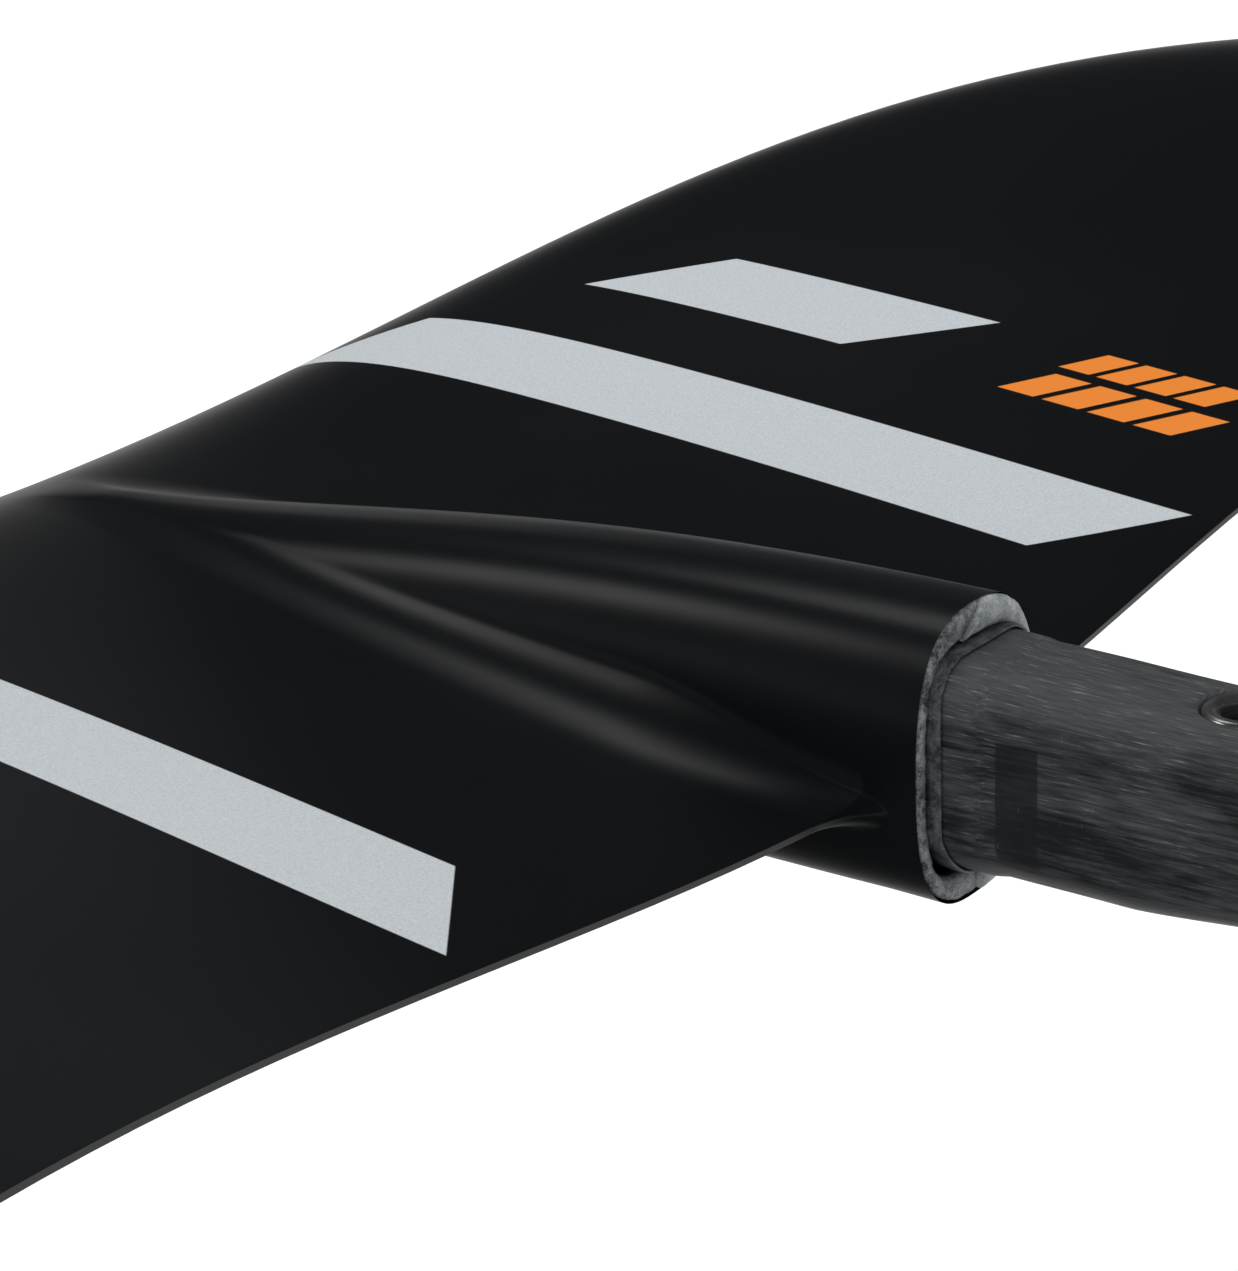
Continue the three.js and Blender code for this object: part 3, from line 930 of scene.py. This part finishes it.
def mix_colors(tree, amount, first, second):
    node = tree.nodes.new("ShaderNodeMix")
    node.data_type = "RGBA"
    tree.links.new(amount, node.inputs["Factor"])
    for socket, value in zip((node.inputs[6], node.inputs[7]), (first, second)):
        if isinstance(value, tuple):
            socket.default_value = (*value, 1)
        else:
            tree.links.new(value, socket)
    return node.outputs[2]


def add_bump(tree, shader, height, distance, strength=1.0):
    node = tree.nodes.new("ShaderNodeBump")
    node.inputs["Distance"].default_value = distance
    node.inputs["Strength"].default_value = strength
    tree.links.new(height, node.inputs["Height"])
    tree.links.new(node.outputs[0], shader.inputs["Normal"])


print("node helpers ready")

# %% [markdown]
# ## Satin black paint
#
# The paint is nearly black with a satin sheen: a low base colour, a middling roughness that drifts a
# little over the surface, and a very shallow orange peel. The upper faces carry graphics in a pale
# metallic ink and an orange one. They are drawn by arithmetic on the position, so they stay exactly
# where they are on the wing from every angle: distance from the centre line, and distance along it,
# leaning with the sweep. The orange print is a plain pair of rows of bars.

# %% Satin black
PAINT_COLOR = (0.0018, 0.0029, 0.0042)
PAINT_LIGHTER = (0.0027, 0.0040, 0.0056)
PAINT_ROUGHNESS = (0.32, 0.37)
DRIFT_SCALE = 14
DRIFT_SPAN = (0.3, 0.7)
PEEL_SCALE = 700
PEEL_DEPTH = 0.01 * MM
PEEL_STRENGTH = 0.6


def satin_black(name):
    material, tree, shader = new_material(name, PAINT_COLOR, PAINT_ROUGHNESS[0])
    drift = even_noise(tree, DRIFT_SCALE, detail=3)
    color = mix_colors(tree, remap(tree, drift, *DRIFT_SPAN), PAINT_COLOR, PAINT_LIGHTER)
    roughness = remap(tree, drift, *DRIFT_SPAN, *PAINT_ROUGHNESS)
    add_bump(tree, shader, even_noise(tree, PEEL_SCALE, detail=2), PEEL_DEPTH, PEEL_STRENGTH)
    tree.links.new(color, shader.inputs["Base Color"])
    tree.links.new(roughness, shader.inputs["Roughness"])
    return material, tree, shader, color, roughness


plain_paint = satin_black("satin_black")[0]
print(plain_paint.name, "has", len(plain_paint.node_tree.nodes), "nodes")

# %% Graphics on the upper faces
STRIPE_COLOR = (0.66, 0.70, 0.73)
STRIPE_DARKER = (0.56, 0.60, 0.63)
ORANGE = (1.0, 0.27, 0.008)
FLAKE_SCALE = 2600
FLAKE_SPAN = (0.35, 0.65)
INK_ROUGHER = 0.22
EDGE_SOFTNESS = 0.12 * MM
# Each stripe: inboard and outboard edge, aft and fore end at the inboard edge, and its lean.
LONG_STRIPE = (73 * MM, 96 * MM, 145.7 * MM, 312.3 * MM, 0.787)
SHORT_STRIPE = (117.5 * MM, 138 * MM, 212.3 * MM, 272.3 * MM, 1.07)
# Each row of bars: inboard and outboard edge, aft end, pitch, count and lean.
BAR_ROWS = (
    (117.5 * MM, 126.5 * MM, 143.5 * MM, 9.2 * MM, 4, 0.75),
    (129 * MM, 136.8 * MM, 143 * MM, 7.8 * MM, 4, 0.75),
)
BAR_FILL = 0.8
BAR_SOFTNESS = 0.02


def between(tree, value, low, high):
    """One between two limits and zero outside them, with edges a tenth of a millimetre soft."""
    after = remap(tree, value, low - EDGE_SOFTNESS, low + EDGE_SOFTNESS)
    before = remap(tree, value, high - EDGE_SOFTNESS, high + EDGE_SOFTNESS, 1, 0)
    return math_node(tree, "MULTIPLY", after, before)


def leaned(tree, along, across, start, lean):
    offset = math_node(tree, "SUBTRACT", across, start)
    return math_node(tree, "ADD", along, math_node(tree, "MULTIPLY", offset, lean))


def stripe_mask(tree, across, along, stripe):
    inboard, outboard, aft, fore, lean = stripe
    straight = leaned(tree, along, across, inboard, lean)
    width = between(tree, across, inboard, outboard)
    return math_node(tree, "MULTIPLY", width, between(tree, straight, aft, fore))


def bars_mask(tree, x, along, row):
    inboard, outboard, aft, pitch, count, lean = row
    straight = leaned(tree, along, x, inboard, lean)
    length = between(tree, straight, aft, aft + pitch * (count - 1 + BAR_FILL))
    bars_along = math_node(tree, "DIVIDE", math_node(tree, "SUBTRACT", straight, aft), pitch)
    phase = math_node(tree, "FRACT", bars_along)
    bar = remap(tree, phase, BAR_FILL - BAR_SOFTNESS, BAR_FILL + BAR_SOFTNESS, 1, 0)
    width = between(tree, x, inboard, outboard)
    return math_node(tree, "MULTIPLY", width, math_node(tree, "MULTIPLY", length, bar))


graphics_paint, tree, shader, black, black_roughness = satin_black("satin_black_graphics")
axes = object_axes(tree)
across = math_node(tree, "ABSOLUTE", axes["X"])
along = axes["Y"]
long_mask = stripe_mask(tree, across, along, LONG_STRIPE)
short_mask = stripe_mask(tree, across, along, SHORT_STRIPE)
pale_mask = math_node(tree, "MAXIMUM", long_mask, short_mask)
bar_masks = [bars_mask(tree, axes["X"], along, row) for row in BAR_ROWS]
orange_mask = math_node(tree, "MAXIMUM", *bar_masks)
flakes = remap(tree, even_noise(tree, FLAKE_SCALE, detail=1), *FLAKE_SPAN)
ink = mix_colors(tree, flakes, STRIPE_DARKER, STRIPE_COLOR)
striped = mix_colors(tree, pale_mask, black, ink)
printed = mix_colors(tree, orange_mask, striped, ORANGE)
tree.links.new(printed, shader.inputs["Base Color"])
inked = math_node(tree, "MAXIMUM", pale_mask, orange_mask)
ink_roughness = math_node(tree, "MULTIPLY", inked, INK_ROUGHER)
roughness = math_node(tree, "ADD", black_roughness, ink_roughness)
tree.links.new(roughness, shader.inputs["Roughness"])
wing_shell.data.materials.append(graphics_paint)
wing_shell.data.materials.append(plain_paint)
print(graphics_paint.name, "has", len(tree.nodes), "nodes")

# %% [markdown]
# ## Sanded carbon
#
# The tenon is bare carbon that has been sanded by hand along its length. Three layers give that: the
# dark resin-rich surface, pale scuffs in broken streaks along the bar, and a few scratches that run
# across it. The scuffs are painted paler towards the top, as painted light on the upper faces and
# corners, and a painted shadow darkens a patch on the port side. The scuffs are rougher and paler
# than the resin between them, so colour, roughness and bump all follow the same mask.

# %% Sanded carbon
RESIN_DARK = (0.012, 0.014, 0.016)
SCUFF_GREY = (0.078, 0.086, 0.091)
SCRATCH_PALE = (0.3, 0.32, 0.33)
SANDED_ROUGHNESS = (0.36, 0.62)
# Noise scales, in cycles a metre, across the bar, along it and up it.
BROAD_SCALES = (120, 34, 120)
STREAK_SCALES = (1500, 60, 1500)
FINE_SCALES = (4200, 170, 4200)
CROSSED_SCALES = (900, 2400, 260)
CROSSED_TURN = (0.9, 0, 0.2)
BROAD_WEIGHT = 0.62
SCUFF_SPAN = (0.45, 0.62)
GRAIN_SPAN = (0.35, 0.7)
GRAIN_GAIN = (0.55, 1.25)
# The scuffs are painted paler from this height up: painted light on the upper faces and corners.
PAINTED_TOP_LIGHT_HEIGHTS = (6 * MM, 14.5 * MM)
PAINTED_TOP_LIGHT_GAIN = 0.16
CROSSED_SPAN = (0.72, 0.78)
CROSSED_STRENGTH = 0.2
BRIGHT_SPAN = (0.62, 0.74)
BRIGHT_STRENGTH = 0.75
# A painted shadow darkens this patch, on the port side only.
PAINTED_SHADOW_Y = (93.6 * MM, 100.2 * MM)
PAINTED_SHADOW_Z = (-12 * MM, 7.5 * MM)
PAINTED_SHADOW_FADE_X = (-8 * MM, -6 * MM)
PAINTED_SHADOW_STRENGTH = 0.8
SANDING_RELIEF = 0.12 * MM
SANDING_STRENGTH = 0.7
FINE_RELIEF_WEIGHT = 0.4


def painted_shadow(tree, axes):
    """One everywhere but on the painted shadow on the port side, where it is nearly zero."""
    patch_y = between(tree, axes["Y"], *PAINTED_SHADOW_Y)
    patch_z = between(tree, axes["Z"], *PAINTED_SHADOW_Z)
    patch = math_node(tree, "MULTIPLY", patch_y, patch_z)
    patch = math_node(tree, "MULTIPLY", patch, PAINTED_SHADOW_STRENGTH)
    port_only = remap(tree, axes["X"], *PAINTED_SHADOW_FADE_X, 1, 0)
    return math_node(tree, "SUBTRACT", 1, math_node(tree, "MULTIPLY", patch, port_only))


def sanded_carbon(name):
    material, tree, shader = new_material(name, RESIN_DARK, 0.5)
    broad = stretched_noise(tree, BROAD_SCALES, detail=6, roughness=0.65)
    streaks = stretched_noise(tree, STREAK_SCALES, detail=5, roughness=0.6)
    fine = stretched_noise(tree, FINE_SCALES, detail=3, roughness=0.6)
    crossed = stretched_noise(tree, CROSSED_SCALES, detail=2, turn=CROSSED_TURN)
    axes = object_axes(tree)

    # Broken scuffs, grained by the finest noise, painted paler towards the top as painted light and
    # darker in a painted shadow on the port side.
    upper = remap(tree, axes["Z"], *PAINTED_TOP_LIGHT_HEIGHTS, 0, PAINTED_TOP_LIGHT_GAIN, smooth=True)
    layers = layered_sum(tree, broad, streaks, BROAD_WEIGHT)
    scuff_and_painted_light = remap(tree, math_node(tree, "ADD", layers, upper), *SCUFF_SPAN)
    scuff_and_painted_light = math_node(tree, "MULTIPLY", scuff_and_painted_light, painted_shadow(tree, axes))
    grain = remap(tree, fine, *GRAIN_SPAN, *GRAIN_GAIN)
    amount = math_node(tree, "MULTIPLY", scuff_and_painted_light, grain, clamp=True)
    scuffed_and_painted_light = mix_colors(tree, amount, RESIN_DARK, SCUFF_GREY)

    # Pale scratches: a few across the bar, and the brightest grains of the scuffs.
    scratches = math_node(
        tree, "MULTIPLY", remap(tree, crossed, *CROSSED_SPAN), CROSSED_STRENGTH
    )
    bright = remap(tree, fine, *BRIGHT_SPAN, 0, BRIGHT_STRENGTH)
    bright = math_node(tree, "MULTIPLY", bright, scuff_and_painted_light)
    scratches = math_node(tree, "MAXIMUM", scratches, bright)
    color = mix_colors(tree, scratches, scuffed_and_painted_light, SCRATCH_PALE)

    tree.links.new(color, shader.inputs["Base Color"])
    roughness = remap(tree, amount, 0, 1, *SANDED_ROUGHNESS)
    tree.links.new(roughness, shader.inputs["Roughness"])
    relief = layered_sum(tree, fine, streaks, FINE_RELIEF_WEIGHT)
    add_bump(tree, shader, relief, SANDING_RELIEF, SANDING_STRENGTH)
    return material


tenon_finish = sanded_carbon("sanded_carbon")
tenon.data.materials.clear()
tenon.data.materials.append(tenon_finish)
print(tenon_finish.name, "has", len(tenon_finish.node_tree.nodes), "nodes")

# %% [markdown]
# ## Cut laminate, glass wrap and stainless steel
#
# The cut edge of the laminate is pale and mottled, because the paper went through paint, glass and
# carbon at once. Its two halves are a lit and a shaded copy of it: the starboard half is painted
# paler, as painted light, and the port half darker, as painted shade. The glass wrap is a greyer,
# shinier version of the laminate. The inserts are turned stainless steel, with fine rings from the
# lathe.

# %% Mottled laminate
PATCH_WEIGHT = 0.7
PATCH_SPAN = (0.4, 0.62)
SPECK_FINER = 7
MOTTLE_SMOOTHER = 0.15
MOTTLE_DEPTH = 0.3 * MM
MOTTLE_STRENGTH = 0.8


def mottled(name, dark, pale, roughness, scale):
    material, tree, shader = new_material(name, pale, roughness)
    patches = even_noise(tree, scale, detail=6, roughness=0.7)
    specks = even_noise(tree, scale * SPECK_FINER, detail=2)
    mottle = layered_sum(tree, patches, specks, PATCH_WEIGHT)
    amount = remap(tree, mottle, *PATCH_SPAN)
    color = mix_colors(tree, amount, dark, pale)
    tree.links.new(color, shader.inputs["Base Color"])
    varied = remap(tree, amount, 0, 1, roughness - MOTTLE_SMOOTHER, roughness)
    tree.links.new(varied, shader.inputs["Roughness"])
    add_bump(tree, shader, mottle, MOTTLE_DEPTH, MOTTLE_STRENGTH)
    return material


# Each finish: the piece it is on, its dark and its pale colour, roughness and noise scale.
MOTTLED_FINISHES = {
    # Painted light and shade: the port half is a shaded copy of the laminate, and the starboard half a
    # lit copy.
    "cut_laminate_port_shaded_copy": (edge_port, (0.035, 0.04, 0.043), (0.30, 0.33, 0.35), 0.6, 420),
    "cut_laminate_starboard_lit_copy": (edge_starboard, (0.17, 0.19, 0.2), (0.46, 0.49, 0.51), 0.55, 420),
    "glass_wrap": (root_wrap, (0.02, 0.022, 0.024), (0.12, 0.125, 0.13), 0.45, 600),
}
for name, (piece, *look) in MOTTLED_FINISHES.items():
    piece.data.materials.append(mottled(name, *look))
    print(name, "is on", piece.name)

# %% Stainless steel
STEEL_COLOR = (0.58, 0.58, 0.57)
STEEL_ROUGHNESS = (0.2, 0.38)
RING_SCALES = (180, 180, 5200)
RING_SPAN = (0.3, 0.7)
RING_DEPTH = 0.03 * MM
RING_STRENGTH = 0.5


def turned_steel(name):
    material, tree, shader = new_material(name, STEEL_COLOR, 0.28)
    shader.inputs["Metallic"].default_value = 1
    rings = stretched_noise(tree, RING_SCALES, detail=2)
    roughness = remap(tree, rings, *RING_SPAN, *STEEL_ROUGHNESS)
    tree.links.new(roughness, shader.inputs["Roughness"])
    add_bump(tree, shader, rings, RING_DEPTH, RING_STRENGTH)
    return material


steel = turned_steel("turned_steel")
for sleeve in sleeves:
    sleeve.data.materials.append(steel)
    print(steel.name, "is on", sleeve.name)

# %% [markdown]
# ## What lies inside the wing
#
# The structure is hidden, but a cutaway or an exploded view would show it, so each hidden CAD node
# has its real finish too: unidirectional carbon for the spar, foam for the cores, and a pale filler
# for the bonding strips and tips.

# %% Inner finishes
GRAIN_MIX_SPAN = (0.35, 0.65)
GRAIN_ROUGH_SPAN = (0.3, 0.7)
GRAIN_SMOOTHER = 0.1
GRAIN_STRENGTH = 0.8


def grained(name, dark, pale, roughness, scales, depth):
    material, tree, shader = new_material(name, pale, roughness)
    grain = stretched_noise(tree, scales)
    color = mix_colors(tree, remap(tree, grain, *GRAIN_MIX_SPAN), dark, pale)
    tree.links.new(color, shader.inputs["Base Color"])
    varied = remap(tree, grain, *GRAIN_ROUGH_SPAN, roughness - GRAIN_SMOOTHER, roughness)
    tree.links.new(varied, shader.inputs["Roughness"])
    add_bump(tree, shader, grain, depth, GRAIN_STRENGTH)
    return material


spanwise_carbon = grained(
    "spanwise_carbon",
    dark=(0.012, 0.013, 0.015),
    pale=(0.05, 0.052, 0.055),
    roughness=0.5,
    scales=(20, 1500, 1500),
    depth=0.1 * MM,
)
closed_foam = grained(
    "closed_cell_foam",
    dark=(0.52, 0.45, 0.29),
    pale=(0.68, 0.62, 0.44),
    roughness=0.9,
    scales=(1400, 1400, 1400),
    depth=0.4 * MM,
)
bond_filler = grained(
    "bond_filler",
    dark=(0.36, 0.3, 0.2),
    pale=(0.5, 0.44, 0.32),
    roughness=0.75,
    scales=(500, 500, 500),
    depth=0.2 * MM,
)
INNER_NODES = (
    (spanwise_carbon, ("root_block", "spar_cap", "shear_web")),
    (closed_foam, ("nacelle_nose_core", "foam_nose", "foam_tail")),
    (bond_filler, ("leading_edge_strip", "trailing_edge_strip", "tip_block")),
)
for finish, stems in INNER_NODES:
    members = [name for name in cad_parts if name.startswith(stems)]
    for name in members:
        node_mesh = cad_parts[name].data
        node_mesh.materials.clear()
        node_mesh.materials.append(finish)
    print(finish.name, "is on", len(members), "nodes")

# %% [markdown]
# ## The studio
#
# Black satin shows its surroundings more than its own colour. So the room is pale for everything that
# looks at it directly, and for the light that falls on the object, but what the paint mirrors is kept
# dim, as black cards round a real table would keep it. Two openings are left between the cards, for
# the pale rims: a band of sky at the horizon, and the starboard side of the floor. The key softbox,
# ahead and above on the port side, draws the highlights along the nacelle and the fillet, and a
# second one lights the tops. The floor lies well below the wing, and it keeps its soft shadow.

# %% Floor
FLOOR_Z = -0.28
FLOOR_SIZE = 12
FLOOR_COLOR = (0.8, 0.8, 0.8)
FLOOR_GLOW = 0.4
MIRRORED_SHARE = 0.06
# In the paint's reflections the floor is a black card, up to this far to starboard.
CARD_COLOR = (0.015, 0.015, 0.015)
BARE_COLOR = (1.0, 1.0, 1.0)
CARD_EDGE = (-0.05, 0.3)
WHITE = (1, 1, 1, 1)


def seen_directly(tree, path):
    """One for rays that show the backdrop itself, and zero for the others."""
    by_camera = path.outputs["Is Camera Ray"]
    through_glass = path.outputs["Is Transmission Ray"]
    return math_node(tree, "MAXIMUM", by_camera, through_glass)


floor_mesh = bmesh.new()
bmesh.ops.create_grid(floor_mesh, x_segments=1, y_segments=1, size=FLOOR_SIZE)
bmesh.ops.translate(floor_mesh, verts=floor_mesh.verts, vec=(0, 0, FLOOR_Z))
floor = new_object("floor", floor_mesh)

floor_finish, tree, shader = new_material("pale_floor", FLOOR_COLOR, 0.9)
path = tree.nodes.new("ShaderNodeLightPath")
glossy_ray = path.outputs["Is Glossy Ray"]
mirrored = math_node(tree, "MULTIPLY", glossy_ray, MIRRORED_SHARE)
shown = math_node(tree, "MAXIMUM", seen_directly(tree, path), mirrored)
bare = remap(tree, object_axes(tree)["X"], *CARD_EDGE, smooth=True)
carded = mix_colors(tree, bare, CARD_COLOR, BARE_COLOR)
floor_tone = mix_colors(tree, glossy_ray, FLOOR_COLOR, carded)
tree.links.new(floor_tone, shader.inputs["Base Color"])
glow = math_node(tree, "MULTIPLY", shown, FLOOR_GLOW)
shader.inputs["Emission Color"].default_value = WHITE
tree.links.new(glow, shader.inputs["Emission Strength"])
floor.data.materials.append(floor_finish)
print("floor lies at", FLOOR_Z, "m")

# %% World
ROOM_LEVEL = 0.85
MIRRORED_ROOM = 0.03
MIRRORED_HORIZON = 0.9
HORIZON_BAND = (0.0, 0.17)
scene = bpy.context.scene
scene.view_settings.view_transform = "Standard"
world = bpy.data.worlds.new("studio")
scene.world = world
world.use_nodes = True
tree = world.node_tree
background = tree.nodes["Background"]
background.inputs["Color"].default_value = WHITE
path = tree.nodes.new("ShaderNodeLightPath")
room = remap(tree, seen_directly(tree, path), 0, 1, ROOM_LEVEL, 1)
sky_direction = tree.nodes.new("ShaderNodeTexCoord").outputs["Generated"]
sky_axes = tree.nodes.new("ShaderNodeSeparateXYZ")
tree.links.new(sky_direction, sky_axes.inputs[0])
dark_levels = (1 - MIRRORED_HORIZON, 1 - MIRRORED_ROOM)
darkness = remap(tree, sky_axes.outputs["Z"], *HORIZON_BAND, *dark_levels, smooth=True)
darkened = math_node(tree, "MULTIPLY", path.outputs["Is Glossy Ray"], darkness)
kept_light = math_node(tree, "SUBTRACT", 1, darkened)
strength = math_node(tree, "MULTIPLY", room, kept_light)
tree.links.new(strength, background.inputs["Strength"])
print(world.name, "has", len(tree.nodes), "nodes")

# %% Softboxes
LAMP_AIM = Vector((0, 0.2, 0))
LAMP_DISTANCE = 1.8


def softbox(name, direction, width, height, radiance):
    data = bpy.data.lights.new(name, "AREA")
    data.shape = "RECTANGLE"
    data.size = width
    data.size_y = height
    data.energy = radiance * math.pi * width * height
    lamp = bpy.data.objects.new(name, data)
    toward = Vector(direction).normalized()
    lamp.location = LAMP_AIM + toward * LAMP_DISTANCE
    lamp.rotation_euler = toward.to_track_quat("Z", "Y").to_euler()
    scene.collection.objects.link(lamp)


softbox("key_softbox", direction=(-0.50, 0.66, 0.56), width=0.6, height=0.5, radiance=2.4)
softbox("top_softbox", direction=(0.22, 0.42, 0.86), width=0.8, height=0.35, radiance=2.0)
